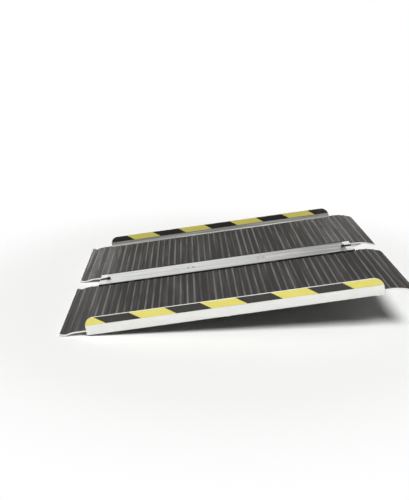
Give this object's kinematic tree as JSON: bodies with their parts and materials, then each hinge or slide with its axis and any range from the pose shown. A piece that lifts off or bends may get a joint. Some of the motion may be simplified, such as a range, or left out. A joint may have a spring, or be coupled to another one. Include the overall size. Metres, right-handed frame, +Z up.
{
  "type": "portable ramp",
  "caption": "Suitcase-folding wheelchair ramp: ribbed anti-slip half decks with hazard-taped kerbs, hinged on a light-metal centre profile, with formed lips and a carrying strap.",
  "frame": {"origin": "centre of the ramp's footprint, at the floor that its upper lip's pads touch while both halves lie open", "axes": "+X along the ramp from its lower end to its upper end, +Y across to the far kerb, +Z up, square to the level decks"},
  "size_m": [0.9544, 0.76, 0.0547],
  "materials": {
    "shell_white": "white gel coat on glass fibre composite",
    "grit_black": "black gritted anti-slip covering with cross ribs",
    "hazard_tape": "yellow and black diagonal blocks",
    "foam": "closed-cell structural foam",
    "pad_rubber": "black rubber strip",
    "profile_silver": "satin anodised extrusion",
    "cap_white": "white injection moulding",
    "lock_black": "black injection moulding",
    "strap_black": "woven webbing",
    "steel": "zinc-plated steel"
  },
  "bodies": {
    "centre": {"spine_profile": "profile_silver", "carry_strap": "strap_black", "lower_end_cap": "cap_white", "upper_end_cap": "cap_white", "lower_lock_guide": "lock_black", "upper_lock_guide": "lock_black", "lower_strap_clamp": "steel", "upper_strap_clamp": "steel", "lower_strap_screw_1": "steel", "lower_strap_screw_2": "steel", "upper_strap_screw_1": "steel", "upper_strap_screw_2": "steel"},
    "near_half": {"near_panel": "shell_white", "near_grip_sheet": "grit_black", "near_outer_tape": "hazard_tape", "near_inner_tape": "hazard_tape", "near_core": "foam", "near_under_skin": "shell_white", "near_lower_pad": "pad_rubber", "near_upper_pad": "pad_rubber", "near_hinge_leaf": "profile_silver", "near_lower_leaf_plug": "cap_white", "near_upper_leaf_plug": "cap_white", "near_edge_seal": "pad_rubber", "near_leaf_rivet_1": "profile_silver", "near_leaf_rivet_2": "profile_silver", "near_leaf_rivet_3": "profile_silver", "near_leaf_rivet_4": "profile_silver"},
    "far_half": {"far_panel": "shell_white", "far_grip_sheet": "grit_black", "far_outer_tape": "hazard_tape", "far_inner_tape": "hazard_tape", "far_core": "foam", "far_under_skin": "shell_white", "far_lower_pad": "pad_rubber", "far_upper_pad": "pad_rubber", "far_hinge_leaf": "profile_silver", "far_lower_leaf_plug": "cap_white", "far_upper_leaf_plug": "cap_white", "far_edge_seal": "pad_rubber", "far_leaf_rivet_1": "profile_silver", "far_leaf_rivet_2": "profile_silver", "far_leaf_rivet_3": "profile_silver", "far_leaf_rivet_4": "profile_silver"},
    "lower_lock": {"lower_lock_slide": "lock_black"},
    "upper_lock": {"upper_lock_slide": "lock_black"}
  },
  "joints": [
    {"name": "near_fold", "type": "hinge", "parent": "centre", "child": "near_half", "pos_m": [0, -0.033, 0.02315], "axis": [-1, 0, 0], "range_deg": [0, 90]},
    {"name": "far_fold", "type": "hinge", "parent": "centre", "child": "far_half", "pos_m": [0, 0.033, 0.02315], "axis": [1, 0, 0], "range_deg": [0, 90]},
    {"name": "lower_lock_travel", "type": "slide", "parent": "centre", "child": "lower_lock", "axis": [-1, 0, 0], "range_m": [0, 0.01]},
    {"name": "upper_lock_travel", "type": "slide", "parent": "centre", "child": "upper_lock", "axis": [1, 0, 0], "range_m": [0, 0.01]}
  ]
}
